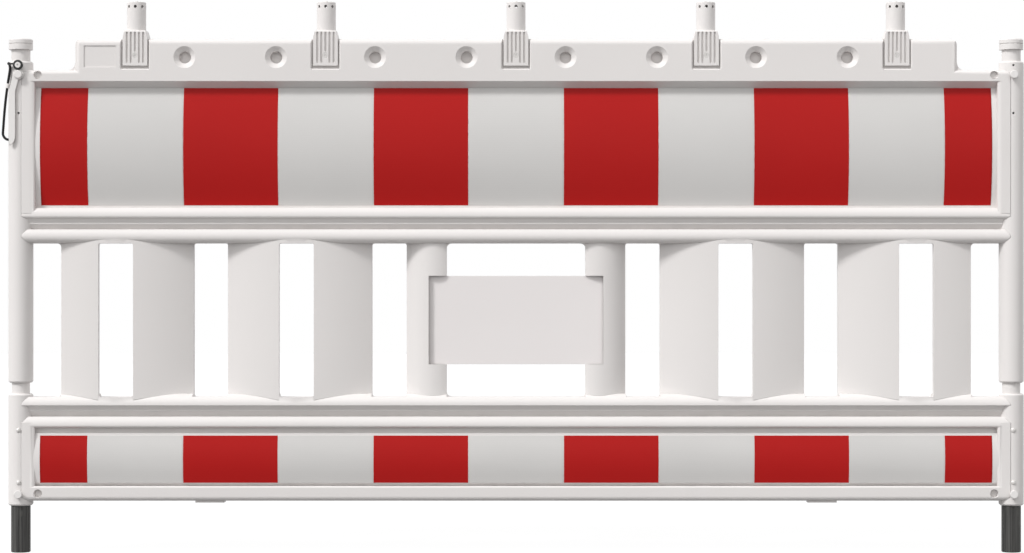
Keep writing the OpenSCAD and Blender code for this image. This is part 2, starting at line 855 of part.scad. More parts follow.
module slat(i) {
    x0 = slat_inner_x(i);
    color(white_plastic) difference() {
        intersection() {
            wave_solid(i, top_rail_z, slat_top_z, 0);
            along_y(2 * half_depth) slat_outline(i);
        }
        intersection() {
            wave_solid(i, top_rail_z, slat_top_z, wall);
            translate([x0 + wall, -half_depth, top_rail_z])
                cube([slat_widths[i] - 2 * wall, board_depth, slat_top_z - top_rail_z]);
        }
        slat_seats();
        if (is_centre(i)) plate_notch();
    }
}

// The two rails that a slat stands between
module slat_seats() {
    along_x(2 * post_x) lip(upper_z, upper_groove_z, under_edge_r);
    crest_strips(upper_z, slat_top_z);
    crest_strips(top_rail_z, slot_floor_z);
    difference() {
        along_x(2 * post_x) round_top_slab(top_rail_z - over, lower_top_z, half_depth, top_rail_edge_r);
        opening_cuts(slot_floor_z);
    }
}

module plate_notch() {
    translate([-plate_w / 2, -board_depth, plate_z]) cube([plate_w, 2 * board_depth, plate_h]);
}

// Blank plate, a flat hollow box that is open towards the slats
module info_plate() {
    color(white_plastic) difference() {
        translate([-plate_w / 2, -plate_t / 2, plate_z]) cube([plate_w, plate_t, plate_h]);
        translate([-plate_w / 2 - over, wall - plate_t / 2, plate_z + wall])
            cube([plate_w + 2 * over, plate_t - 2 * wall, plate_h - 2 * wall]);
    }
}

// Half section of a post, from its axis out
module post_section() {
    spigot_bore = spigot_r + plug_gap;
    plug_bore = top_neck_r - neck_wall;
    low_bore = low_neck_r - neck_wall;
    sleeve_bore = post_r - post_wall;
    spigot_end_z = foot_reach + spigot_h + post_chamfer;
    polygon([
        [spigot_bore, foot_reach],
        [post_r - post_chamfer, foot_reach],
        [post_r, foot_reach + post_chamfer],
        [post_r, low_post_z - post_chamfer],
        [post_r - post_chamfer, low_post_z],
        [low_neck_r, low_post_z],
        [low_neck_r, sleeve_z],
        [post_r - post_chamfer, sleeve_z],
        [post_r, sleeve_z + post_chamfer],
        [post_r, sleeve_top_z - post_chamfer],
        [post_r - post_chamfer, sleeve_top_z],
        [top_neck_r, sleeve_top_z],
        [top_neck_r, cap_z],
        [plug_bore, cap_z],
        [plug_bore, sleeve_top_z - post_wall],
        [sleeve_bore, sleeve_top_z - 2 * post_wall],
        [sleeve_bore, sleeve_z + 2 * post_wall],
        [low_bore, sleeve_z + post_wall],
        [low_bore, low_post_z - post_wall],
        [spigot_bore, low_post_z - 2 * post_wall],
        [spigot_bore, spigot_end_z]
    ]);
}

module post(side) {
    color(white_plastic) at_post(side) difference() {
        rotate_extrude() post_section();
        for (z = [lower_pin_z, upper_pin_z])
            translate([0, 0, z]) rod_y(-2 * post_r, 4 * post_r, pin_r + screw_gap);
        for (z = [foot_screw_low, foot_screw_high])
            translate([0, 0, foot_reach + z]) rod_y(-2 * post_r, 2 * post_r, screw_r + screw_gap);
        for (z = [pilot_z, lanyard_z])
            translate([0, 0, z]) rod_y(-2 * post_r, 2 * post_r, screw_r + screw_gap);
    }
}

module post_cap(side) {
    line_h = 1.6;
    line_depth = 1.4;
    edge = 2.5;
    plug_r = top_neck_r - neck_wall - plug_gap;
    line_z = cap_z + cap_h / 2;
    color(white_plastic) at_post(side) rotate_extrude() polygon([
        [0, cap_z - cap_plug_h],
        [plug_r, cap_z - cap_plug_h],
        [plug_r, cap_z],
        [cap_r, cap_z],
        [cap_r, line_z],
        [cap_r - line_depth, line_z + line_h / 2],
        [cap_r, line_z + line_h],
        [cap_r, cap_z + cap_h - edge],
        [cap_r - edge, cap_z + cap_h],
        [0, cap_z + cap_h]
    ]);
}

module foot(side) {
    edge = 1.5;
    spigot_top_z = foot_reach + spigot_h;
    color(foot_grey) at_post(side) difference() {
        rotate_extrude() polygon([
            [0, 0],
            [foot_r - edge, 0],
            [foot_r, edge],
            [foot_r, foot_reach],
            [spigot_r, foot_reach],
            [spigot_r, spigot_top_z - edge],
            [spigot_r - edge, spigot_top_z],
            [0, spigot_top_z]
        ]);
        for (k = [0:flute_count - 1]) rotate([0, 0, (k + 0.5) * 360 / flute_count])
            translate([foot_r + flute_r / 4, 0, -over]) cylinder(h = foot_reach + over, r = flute_r);
        translate([0, 0, lower_pin_z]) rod_y(-2 * post_r, 4 * post_r, pin_r + screw_gap);
        for (z = [foot_screw_low, foot_screw_high]) translate([0, 0, foot_reach + z])
            rod_y(-2 * post_r, 2 * post_r - foot_screw_core(), screw_r + screw_gap);
    }
}

// Depth that is left undrilled in front of the foot's axis
function foot_screw_core() = spigot_r / 2;

// Domed head at the given depth, facing the front
module dome_head(y, r, height) {
    ball = (r * r + height * height) / (2 * height);
    intersection() {
        translate([0, y - height + ball, 0]) sphere(r = ball);
        rod_y(y - 2 * height, 3 * height, r);
    }
}

module foot_screws() {
    color(screw_steel) for (side = [-1, 1], z = [foot_screw_low, foot_screw_high])
        translate([side * post_x, 0, foot_reach + z]) {
            difference() {
                dome_head(-post_r, foot_screw_head_r, foot_screw_head_h);
                cylinder(h = 4 * foot_screw_head_r, r = post_r, center = true);
            }
            rod_y(-post_r - over, post_r - foot_screw_core(), screw_r);
        }
}

// Front outline of a saddle with its tapered shoulders
module saddle_outline() {
    half = saddle_w / 2;
    top_half = saddle_top_w / 2;
    shoulder_z = saddle_top_z - saddle_shoulder_h;
    polygon([
        [-half, saddle_z],
        [half, saddle_z],
        [half, shoulder_z],
        [top_half, saddle_top_z],
        [-top_half, saddle_top_z],
        [-half, shoulder_z]
    ]);
}

// One upright groove with round ends
module saddle_groove(k) {
    low_z = k == 0 ? adapter_screw_z + adapter_screw_head_r + groove_w : saddle_z + groove_end_gap;
    high_z = saddle_top_z - saddle_edge_r - groove_w / 2;
    translate([k * groove_pitch - groove_w / 2, low_z]) square([groove_w, high_z - low_z]);
    for (z = [low_z, high_z]) translate([k * groove_pitch, z]) circle(d = groove_w);
}

module lamp_adapter(i) {
    bore = tube_r - tube_wall;
    tube_foot_z = top_z + saddle_rise / 2;
    tube_edge_z = tube_top_z - tube_edge;
    seat_depth = half_depth - saddle_y + adapter_screw_head_h;
    color(white_plastic) at_adapter(i) difference() {
        union() {
            intersection() {
                along_x(2 * saddle_w) round_top_slab(saddle_z, saddle_top_z, saddle_y, saddle_edge_r);
                along_y(4 * saddle_y) saddle_outline();
            }
            translate([0, 0, tube_foot_z]) cylinder(h = tube_edge_z - tube_foot_z, r = tube_r);
            translate([0, 0, tube_edge_z]) cylinder(h = tube_edge, r1 = tube_r, r2 = tube_r - tube_edge);
            translate([0, 0, tube_top_z]) cylinder(h = nub_h, r = nub_r);
        }
        along_x(2 * saddle_w) slab(saddle_z - over, top_z + saddle_gap, web_y + saddle_gap);
        translate([0, 0, top_z]) cylinder(h = tube_top_z - tube_cap_t - top_z, r = bore);
        front_and_rear() translate([0, -saddle_y, 0]) along_y(2 * groove_depth)
            for (k = [0:groove_count - 1]) saddle_groove(k - (groove_count - 1) / 2);
        for (k = [0:tube_hole_count - 1]) rotate([0, 0, k * 360 / tube_hole_count])
            translate([0, 0, tube_top_z - tube_hole_drop]) rod_y(-2 * tube_r, 2 * tube_r, tube_hole_r);
        translate([0, 0, adapter_screw_z]) {
            rod_y(-2 * half_depth, 2 * half_depth - web_y + over, screw_r + screw_gap);
            rod_y(-half_depth, seat_depth, adapter_screw_head_r + screw_gap);
        }
    }
}

module adapter_screws() {
    head_y = -saddle_y;
    color(screw_steel) for (i = [0:adapter_count - 1]) at_adapter(i) translate([0, 0, adapter_screw_z])
        difference() {
            union() {
                rod_y(head_y, adapter_screw_head_h, adapter_screw_head_r);
                rod_y(head_y, saddle_y - web_y + 2 * wall, screw_r);
            }
            rod_y(head_y - over, over + screw_recess_depth, screw_recess_r);
        }
}

// Stripes of one colour on one face of a board
module film(row, side, hue) {
    is_upper = row == "upper";
    z0 = is_upper ? upper_film_z : lower_film_z;
    z1 = is_upper ? upper_film_top_z : lower_film_top_z;
    r = is_upper ? upper_face_r : lower_face_r;
    crown = half_depth - (is_upper ? upper_crown_drop : lower_crown_drop);
    turn = side == "front" ? 0 : 180;
    first = hue == "red" ? 0 : 1;
    color(hue == "red" ? film_red : film_white) rotate([0, 0, turn])
        for (k = [first:2:stripe_count]) {
            left = max(-film_length / 2, (k - 0.5) * stripe_w - film_length / 2 + stripe_gap / 2);
            right = min(film_length / 2, (k + 0.5) * stripe_w - film_length / 2 - stripe_gap / 2);
            translate([(left + right) / 2, 0, 0]) along_x(right - left) film_section(z0, z1, r, crown);
        }
}

// Cross section of the front film on its curved face
module film_section(z0, z1, r, crown) {
    intersection() {
        translate([r - crown, (z0 + z1) / 2]) difference() {
            circle(r = r + film_gap + film_t, $fn = face_fn);
            circle(r = r + film_gap, $fn = face_fn);
        }
        translate([-half_depth, z0]) square([half_depth, z1 - z0]);
    }
}

// Pin through a post, with a shoulder and a head at both ends
module cross_pin() {
    edge = 0.8;
    rod_y(-pin_head_y, 2 * pin_head_y, pin_r);
    front_and_rear() {
        difference() {
            rod_y(-pin_head_y, pin_head_y - post_r / 2, shoulder_r);
            cylinder(h = 4 * shoulder_r, r = post_r, center = true);
        }
        rod_y(edge - pin_end_y, pin_head_h - edge, pin_head_r);
        translate([0, -pin_end_y, 0]) rotate([-90, 0, 0])
            cylinder(h = edge, r1 = pin_head_r - edge, r2 = pin_head_r);
    }
}

module latch_pin() {
    color(white_plastic) translate([-post_x, 0, upper_pin_z]) cross_pin();
}

module cross_pins() {
    color(white_plastic) {
        translate([post_x, 0, upper_pin_z]) cross_pin();
        for (side = [-1, 1]) translate([side * post_x, 0, lower_pin_z]) cross_pin();
    }
}

// Outline of the latch: an eye, a slanted neck and a body whose end curves to its outer edge
module latch_outline() {
    right = latch_w / 2 - latch_offset;
    left = right - latch_w;
    tip_x = left + latch_tip_w;
    tip = [for (k = [0:arc_steps]) let (t = 90 * k / arc_steps)
        [tip_x + (latch_w - latch_tip_w) * sin(t), latch_tip_h * (1 - cos(t)) - latch_reach]];
    circle(r = latch_eye_r);
    polygon([
        [-latch_eye_r, 0],
        [left, -latch_body_drop],
        [right, -latch_body_drop],
        [0, -latch_eye_r]
    ]);
    polygon(concat(
        [[left, -latch_body_drop], [left, latch_tip_w - latch_reach]],
        tip,
        [[right, -latch_body_drop]]
    ));
}

module coupling_latch() {
    color(white_plastic) translate([-post_x, 0, upper_pin_z]) difference() {
        translate([0, (latch_back_y + latch_front_y) / 2, 0]) along_y(latch_t) latch_outline();
        rod_y(-2 * half_depth, 2 * half_depth, shoulder_r + latch_gap);
    }
}

// Screw with its spacer against the post
module lanyard_screw() {
    head_h = 2.4;
    recess = 1.8;
    color(white_plastic) translate([-post_x, 0, lanyard_z]) difference() {
        union() {
            rod_y(lanyard_screw_y - head_h, head_h, lanyard_screw_head_r);
            rod_y(lanyard_screw_y - head_h / 2, -lanyard_screw_y - post_r / 2, screw_r);
            difference() {
                rod_y(lanyard_eye_y, -lanyard_eye_y - post_r / 2, lanyard_spacer_r);
                cylinder(h = 4 * lanyard_spacer_r, r = post_r, center = true);
            }
        }
        rod_y(lanyard_screw_y - head_h - over, over + recess, screw_recess_r);
    }
}

// Eye under the screw head, with a lug at its side that the cord leaves to the rear
module lanyard_eye() {
    mid_y = lanyard_eye_y - lanyard_eye_t / 2;
    color(lanyard_black) translate([-post_x, 0, lanyard_z]) difference() {
        union() {
            rod_y(lanyard_screw_y, lanyard_eye_t, lanyard_eye_r);
            translate([-lanyard_tail_x, mid_y, lanyard_tail_rise]) rotate([0, 90, 0])
                cylinder(h = lanyard_tail_x - screw_r - 2 * lanyard_tail_r, r = lanyard_tail_r);
            translate([-lanyard_tail_x, 0, lanyard_tail_rise])
                rod_y(cord_start_y - lanyard_lug_h, lanyard_lug_h, cord_d / 2 + lanyard_lug_wall);
        }
        rod_y(-2 * half_depth, 2 * half_depth, screw_r + screw_gap);
        translate([-lanyard_tail_x, 0, lanyard_tail_rise])
            rod_y(cord_start_y, 2 * lanyard_tail_r, (cord_d + lanyard_lug_wall) / 2);
    }
}

// Cord

// Route of the cord from the upper left pin: back out of the eye's lug, down behind the plane of the latch
// and round to the back of the latch's edge
cord_anchor = [-post_x, 0, upper_pin_z];
cord_start_y = lanyard_eye_y - lanyard_eye_t / 2 - lanyard_lug_lead;
cord_start = [-lanyard_tail_x, cord_start_y, lanyard_rise + lanyard_tail_rise];
cord_bend_r = 11;
cord_turn_r = 13.8;
cord_bow = 2;
cord_lean = 1.2;
cord_tail = 3;
cord_tuck = 2.4;
cord_tie_rise = 10.5;
cord_end = [
    cord_tuck - latch_offset - latch_w / 2,
    latch_back_y + cord_d / 2 + cord_gap,
    cord_tie_rise - latch_reach
];
cord_hang_top = cord_start + [0, cord_bend_r, -cord_bend_r];
cord_way = cord_turn_r + cord_tail;
cord_way_y = (cord_end.y - cord_hang_top.y - cord_lean) / cord_way;
cord_out = [sqrt(1 - cord_way_y * cord_way_y), cord_way_y, 0];
cord_hang_foot = cord_end - cord_way * cord_out + [0, 0, cord_turn_r];
cord_bends = 4;
cord_hangs = 9;
// Share of the way from 0 to 1, slow at both ends
function eased(t) = t * t * (3 - 2 * t);
cord_route = concat(
    [for (k = [0:cord_bends]) let (t = 90 * k / cord_bends)
        cord_start + cord_bend_r * [0, sin(t), cos(t) - 1]],
    [for (k = [1:cord_hangs - 1]) let (t = k / cord_hangs, way = cord_hang_foot - cord_hang_top)
        cord_hang_top + [t * way.x - cord_bow * sin(180 * t), eased(t) * way.y, t * way.z]],
    [for (k = [0:cord_bends]) let (t = 90 * k / cord_bends)
        cord_hang_foot + cord_turn_r * ((1 - cos(t)) * cord_out - [0, 0, sin(t)])],
    [cord_end]
);
cord_sides = 8;
cord_steps = 3;

// Smooth curve through the route's points
function route_at(k) = cord_route[max(0, min(len(cord_route) - 1, k))];
function spline(a, b, c, d, t) =
    b + t * ((c - a) / 2 + t * ((a - 2.5 * b + 2 * c - 0.5 * d) + t * (1.5 * (b - c) + (d - a) / 2)));
cord_points = concat(
    [for (k = [0:len(cord_route) - 2], j = [0:cord_steps - 1])
        spline(route_at(k - 1), route_at(k), route_at(k + 1), route_at(k + 2), j / cord_steps)],
    [cord_end]
);
function unit(v) = v / norm(v);
function cord_heading(k) =
    k == 0 ? [0, 1, 0]
    : k == len(cord_points) - 1 ? cord_out
    : unit(cord_points[k + 1] - cord_points[k - 1]);
// Side direction carried along the cord without twist
function carried(side, heading) = unit(side - (side * heading) * heading);
function cord_frames(k, side, out) =
    k == len(cord_points) ? out
    : let (h = cord_heading(k), s = carried(side, h))
        cord_frames(k + 1, s, concat(out, [[s, cross(h, s)]]));

module lanyard_cord() {
    frames = cord_frames(0, [0, 0, 1], []);
    rings = len(cord_points);
    points = [for (k = [0:rings - 1], j = [0:cord_sides - 1])
        let (angle = j * 360 / cord_sides)
        cord_points[k] + cord_d / 2 * (cos(angle) * frames[k][0] + sin(angle) * frames[k][1])];
    walls = [for (k = [0:rings - 2], j = [0:cord_sides - 1], half = [0, 1])
        let (a = k * cord_sides + j, b = k * cord_sides + (j + 1) % cord_sides)
        half == 0 ? [a, b + cord_sides, b] : [a, a + cord_sides, b + cord_sides]];
    start_cap = [[for (j = [0:cord_sides - 1]) j]];
    end_cap = [[for (j = [cord_sides - 1:-1:0]) (rings - 1) * cord_sides + j]];
    color(lanyard_black) translate(cord_anchor)
        polyhedron(points = points, faces = concat(start_cap, walls, end_cap));
}

// White ferrule on the cord, along the cord's own direction
module lanyard_ferrule() {
    k = ferrule_ring();
    ferrule_bore = cord_d / 2 + ferrule_gap;
    heading = cord_heading(k);
    lean = atan2(heading.x, -heading.z);
    color(white_plastic) translate(cord_anchor + cord_points[k]) rotate([0, -lean, 0]) difference() {
        cylinder(h = ferrule_h, r = ferrule_bore + ferrule_wall, center = true);
        cylinder(h = 2 * ferrule_h, r = ferrule_bore, center = true);
    }
}

// Ring of the cord that lies nearest to the ferrule's height
function ferrule_ring(k = 0) = cord_points[k].z < -ferrule_drop ? k : ferrule_ring(k + 1);

// Drawing

function slat_side(i) = i < len(slat_widths) ? 1 : 0;
function slat_index(i) = i < len(slat_widths) ? i : slat_count - 1 - i;

upper_board();
lower_board();
for (i = [0:slat_count - 1])
    mirror([slat_side(i), 0, 0]) slat(slat_index(i));
info_plate();
post(-1);  // left_post
post(1);  // right_post
post_cap(-1);  // left_post_cap
post_cap(1);  // right_post_cap
foot(-1);  // left_foot
foot(1);  // right_foot
foot_screws();
for (i = [0:adapter_count - 1])
    lamp_adapter(i);
adapter_screws();
for (row = film_rows, side = film_sides, hue = film_colours)
    film(row, side, hue);
latch_pin();
cross_pins();
coupling_latch();
lanyard_screw();
lanyard_eye();
lanyard_ferrule();
lanyard_cord();
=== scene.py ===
"""Looks of the pedestrian barrier panel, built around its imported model. Metres, in the model's own frame."""

import json
import math

import bpy
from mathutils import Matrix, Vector


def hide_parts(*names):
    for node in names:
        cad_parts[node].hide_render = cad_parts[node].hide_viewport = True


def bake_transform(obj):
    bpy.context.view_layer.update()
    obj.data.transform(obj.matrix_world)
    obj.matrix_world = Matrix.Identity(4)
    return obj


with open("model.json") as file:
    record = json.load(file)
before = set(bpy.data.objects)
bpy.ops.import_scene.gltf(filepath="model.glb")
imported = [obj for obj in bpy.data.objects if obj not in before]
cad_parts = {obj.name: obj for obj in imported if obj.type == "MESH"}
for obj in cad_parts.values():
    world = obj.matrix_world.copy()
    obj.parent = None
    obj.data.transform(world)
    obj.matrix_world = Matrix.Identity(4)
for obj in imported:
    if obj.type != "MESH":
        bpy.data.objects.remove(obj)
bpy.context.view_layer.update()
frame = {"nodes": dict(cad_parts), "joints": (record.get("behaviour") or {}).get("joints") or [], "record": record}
nodes = frame["nodes"]
scene = bpy.context.scene

# Camera, level and square to the panel as in the photograph
CAMERA_AT = (-0.00847, -5.5, 0.5805)
LENS_MM = 91.7
SENSOR_MM = 36.0

camera_data = bpy.data.cameras.new("camera")
camera_data.lens = LENS_MM
camera_data.sensor_width = SENSOR_MM
camera = bpy.data.objects.new("camera", camera_data)
camera.location = CAMERA_AT
camera.rotation_euler = (math.radians(90), 0, 0)
scene.collection.objects.link(camera)
scene.camera = camera


# Material helpers
class Shader:
    """A node material with one Principled shader, and short ways to wire it."""

    def __init__(self, name):
        self.material = bpy.data.materials.new(name)
        self.material.use_nodes = True
        self.tree = self.material.node_tree
        self.bsdf = self.tree.nodes["Principled BSDF"]
        self.coords = self.add("ShaderNodeTexCoord").outputs["Object"]

    def add(self, kind, **settings):
        node = self.tree.nodes.new(kind)
        for key, value in settings.items():
            setattr(node, key, value)
        return node

    def link(self, source, target):
        self.tree.links.new(source, target)

    def noise(self, scale, detail=3.0, rough=0.5, stretch=None):
        node = self.add("ShaderNodeTexNoise")
        node.inputs["Scale"].default_value = scale
        node.inputs["Detail"].default_value = detail
        node.inputs["Roughness"].default_value = rough
        self.link(self.stretched(stretch) if stretch else self.coords, node.inputs["Vector"])
        return node.outputs["Fac"]

    def stretched(self, factors):
        node = self.add("ShaderNodeMapping")
        node.inputs["Scale"].default_value = factors
        self.link(self.coords, node.inputs["Vector"])
        return node.outputs["Vector"]

    def math(self, operation, a, b=0.0):
        node = self.add("ShaderNodeMath", operation=operation)
        for socket, value in zip(node.inputs, (a, b)):
            if isinstance(value, (int, float)):
                socket.default_value = value
            else:
                self.link(value, socket)
        return node.outputs[0]

    def remap(self, value, span, to=(0.0, 1.0)):
        """Maps the span of a value, given as low and high, to another span."""
        node = self.add("ShaderNodeMapRange")
        self.link(value, node.inputs["Value"])
        for key, number in zip(("From Min", "From Max", "To Min", "To Max"), (*span, *to)):
            node.inputs[key].default_value = number
        return node.outputs["Result"]

    def mix(self, factor, a, b):
        node = self.add("ShaderNodeMix", data_type="RGBA")
        self.link(factor, node.inputs["Factor"])
        for socket, value in zip((node.inputs[6], node.inputs[7]), (a, b)):
            if isinstance(value, tuple):
                socket.default_value = (*value, 1.0)
            else:
                self.link(value, socket)
        return node.outputs[2]

    def occlusion(self, distance):
        node = self.add("ShaderNodeAmbientOcclusion", samples=4)
        node.inputs["Distance"].default_value = distance
        return node.outputs["AO"]

    def bump(self, height, distance, strength=1.0, normal=None):
        node = self.add("ShaderNodeBump")
        node.inputs["Distance"].default_value = distance
        node.inputs["Strength"].default_value = strength
        self.link(height, node.inputs["Height"])
        if normal is not None:
            self.link(normal, node.inputs["Normal"])
        return node.outputs["Normal"]

    def round_edges(self, radius):
        node = self.add("ShaderNodeBevel", samples=6)
        node.inputs["Radius"].default_value = radius
        return node.outputs["Normal"]

    def set(self, **values):
        for key, value in values.items():
            socket = self.bsdf.inputs[key.replace("_", " ")]
            if isinstance(value, tuple):
                socket.default_value = (*value, 1.0)
            elif isinstance(value, (int, float)):
                socket.default_value = value
            else:
                self.link(value, socket)
        return self.material


def linear(red, green, blue):
    """A colour given as screen values from 0 to 255, as the linear values that the shader takes."""
    def one(value):
        value /= 255
        return value / 12.92 if value <= 0.04045 else ((value + 0.055) / 1.055) ** 2.4
    return one(red), one(green), one(blue)


def dimmed(colour, share):
    return tuple(c * share for c in colour)


# Colours as they are seen
BODY_WHITE = linear(226, 222, 220)
FITTING_WHITE = linear(231, 228, 226)
# Painted light: the recessed plate's white is lighter than the body's, standing in for the light that its recess
# holds back
PLATE_PAINTED_LIGHT_WHITE = linear(233, 228, 227)
SPECK = linear(150, 148, 144)
# Grey for the painted shade in the corners and creases of the white mouldings
CORNER_SHADE_GREY = linear(140, 137, 134)
RED = linear(174, 25, 24)
RED_CELL = linear(192, 44, 41)
RED_EDGE = linear(106, 11, 11)
PALE = linear(209, 207, 205)
PALE_CELL = linear(226, 225, 223)
PALE_EDGE = linear(160, 158, 156)
FOOT_DARK = linear(34, 34, 33)
FOOT_PALE = linear(80, 79, 77)
FOOT_SCUFF = linear(116, 114, 111)
ZINC_BRIGHT = linear(214, 211, 208)
ZINC_DULL = linear(194, 191, 188)
CORD_CORE = linear(10, 10, 11)
CORD_FIBRE = linear(26, 26, 27)
EYE_BLACK = linear(20, 20, 21)
EYE_RUBBED = linear(58, 58, 58)

# Middle spans of a noise, which hardly ever reaches 0 or 1
MIDDLE = (0.35, 0.65)
WIDE_MIDDLE = (0.3, 0.7)


def moulded_white(name, colour, roughness, peel):
    """White polyethylene: faint tone drift, moulded skin and patchy painted shade that darkens its corners and
    creases.
    """
    s = Shader(name)
    drift = s.remap(s.noise(scale=2.6, detail=2.0), MIDDLE)
    tone = s.mix(drift, dimmed(colour, share=0.975), colour)
    specks = s.remap(s.noise(scale=420.0, detail=1.0), span=(0.74, 0.80), to=(0.0, 0.05))
    tone = s.mix(specks, tone, SPECK)
    # Painted shade: occlusion pulls the white towards the grey in corners, creases and recesses, broken up by
    # patchy noise
    corners = s.remap(s.occlusion(distance=0.010), span=(0.2, 0.85), to=(0.26, 0.0))
    patches = s.remap(s.noise(scale=38.0, detail=4.0), WIDE_MIDDLE, to=(0.4, 1.0))
    painted_corner_shade = s.math("MULTIPLY", corners, patches)
    tone = s.mix(painted_corner_shade, tone, CORNER_SHADE_GREY)
    skin = s.noise(scale=640.0, detail=2.0, rough=0.55)
    waves = s.noise(scale=9.0, detail=1.0)
    normal = s.bump(skin, distance=peel, strength=0.5, normal=s.round_edges(radius=0.0011))
    normal = s.bump(waves, distance=0.0006, strength=0.35, normal=normal)
    gloss = s.remap(s.noise(scale=55.0), WIDE_MIDDLE, to=(roughness - 0.05, roughness + 0.06))
    return s.set(Base_Color=tone, Roughness=gloss, Normal=normal, Specular_IOR_Level=0.45)


# Film: its end along the panel, the darker border there, and its cells
FILM_END = 1.0
FILM_BORDER = 0.0045
FILM_CUT = 0.001
CELL_W = 0.0042
CELL_H = 0.0036
CELL_LINE = 0.00028


def reflective_film(name, colour, cell_colour, edge_colour, sheen):
    """Reflective film: fine staggered cells under a smooth clear face, darker at its cut ends."""
    s = Shader(name)
    cells = s.add("ShaderNodeTexBrick", offset=0.5, squash=1.0)
    cells.inputs["Scale"].default_value = 1.0
    cells.inputs["Brick Width"].default_value = CELL_W
    cells.inputs["Row Height"].default_value = CELL_H
    cells.inputs["Mortar Size"].default_value = CELL_LINE
    cells.inputs["Mortar Smooth"].default_value = 0.3
    upright = s.add("ShaderNodeMapping")
    upright.inputs["Rotation"].default_value = (math.radians(-90), 0, 0)
    s.link(s.coords, upright.inputs["Vector"])
    s.link(upright.outputs["Vector"], cells.inputs["Vector"])
    lines = cells.outputs["Fac"]
    drift = s.remap(s.noise(scale=3.5, detail=2.0), MIDDLE)
    tone = s.mix(drift, dimmed(colour, share=0.965), colour)
    tone = s.mix(s.math("MULTIPLY", lines, 0.22), tone, cell_colour)
    across = s.add("ShaderNodeSeparateXYZ")
    s.link(s.coords, across.inputs[0])
    outward = s.math("ABSOLUTE", across.outputs["X"])
    border = s.remap(outward, span=(FILM_END - FILM_BORDER, FILM_END - FILM_CUT), to=(0.0, 0.4))
    tone = s.mix(border, tone, edge_colour)
    waves = s.noise(scale=14.0, detail=1.0)
    normal = s.bump(lines, distance=0.00005, strength=0.25)
    normal = s.bump(waves, distance=0.0004, strength=0.3, normal=normal)
    gloss = s.remap(s.noise(scale=70.0), WIDE_MIDDLE, to=(0.30, 0.40))
    return s.set(Base_Color=tone, Roughness=gloss, Normal=normal, Specular_IOR_Level=sheen)


def foot_grey(name):
    """Recycled dark plastic with drawn streaks and pale scuffs."""
    s = Shader(name)
    streaks = s.noise(scale=260.0, rough=0.6, stretch=(1.0, 1.0, 0.02))
    tone = s.mix(s.remap(streaks, span=(0.35, 0.68)), FOOT_DARK, FOOT_PALE)
    scrapes = s.noise(scale=95.0, detail=5.0, rough=0.65, stretch=(1.0, 1.0, 0.25))
    scuffs = s.remap(scrapes, span=(0.60, 0.72), to=(0.0, 0.35))
    tone = s.mix(scuffs, tone, FOOT_SCUFF)
    grain = s.noise(scale=700.0, detail=2.0)
    normal = s.bump(streaks, distance=0.0004, strength=0.5)
    normal = s.bump(grain, distance=0.0002, strength=0.4, normal=normal)
    gloss = s.remap(streaks, WIDE_MIDDLE, to=(0.48, 0.66))
    return s.set(Base_Color=tone, Roughness=gloss, Normal=normal, Specular_IOR_Level=0.4)


def zinc(name):
    """Zinc-plated steel with faint turning marks and dull spots."""
    s = Shader(name)
    marks = s.noise(scale=900.0, detail=2.0, stretch=(1.0, 0.1, 1.0))
    spots = s.remap(s.noise(scale=240.0, detail=4.0), span=(0.45, 0.70))
    tone = s.mix(spots, ZINC_BRIGHT, ZINC_DULL)
    gloss = s.remap(spots, span=(0.0, 1.0), to=(0.42, 0.56))
    normal = s.bump(marks, distance=0.0001, strength=0.4)
    return s.set(Base_Color=tone, Metallic=0.2, Roughness=gloss, Normal=normal)


def cord_black(name):
    """Black braided cord: crossing strands over a soft dark core."""
    s = Shader(name)
    fibres = s.noise(scale=2600.0, detail=2.0, rough=0.6)
    tone = s.mix(s.remap(fibres, WIDE_MIDDLE), CORD_CORE, CORD_FIBRE)
    normal = s.bump(fibres, distance=0.0003, strength=0.6)
    return s.set(Base_Color=tone, Roughness=0.72, Normal=normal, Specular_IOR_Level=0.25,
                 Sheen_Weight=0.15, Sheen_Roughness=0.5)


def black_moulding(name):
    """Black moulded eye with a fine skin and rubbed spots."""
    s = Shader(name)
    rubbed = s.remap(s.noise(scale=420.0, detail=4.0), span=(0.52, 0.72))
    tone = s.mix(rubbed, EYE_BLACK, EYE_RUBBED)
    gloss = s.remap(rubbed, span=(0.0, 1.0), to=(0.38, 0.58))
    normal = s.bump(s.noise(scale=1500.0, detail=2.0), distance=0.0002, strength=0.4)
    return s.set(Base_Color=tone, Roughness=gloss, Normal=normal)


# The materials that the record's slots stand for
MATERIALS = {
    "white_plastic": moulded_white("blow_moulded_white", BODY_WHITE, roughness=0.42, peel=0.00022),
    "white_fittings": moulded_white("fitting_white", FITTING_WHITE, roughness=0.34, peel=0.00012),
    "red_film": reflective_film("red_film", RED, RED_CELL, RED_EDGE, sheen=0.12),
    "white_film": reflective_film("white_film", PALE, PALE_CELL, PALE_EDGE, sheen=0.25),
    "foot_plastic": foot_grey("foot_grey"),
    "screw_steel": zinc("zinc_steel"),
    "lanyard_black": black_moulding("black_moulding"),
}
# Painted light: a lighter copy of the moulded white for the recessed plate, making up for the shade that its
# recess takes
PLATE_PAINTED_LIGHT_MATERIAL = moulded_white("plate_white_painted_light", PLATE_PAINTED_LIGHT_WHITE, roughness=0.40, peel=0.00010)
slots = {row["node"]: row["material_slot"] for row in frame["record"]["subparts"]}

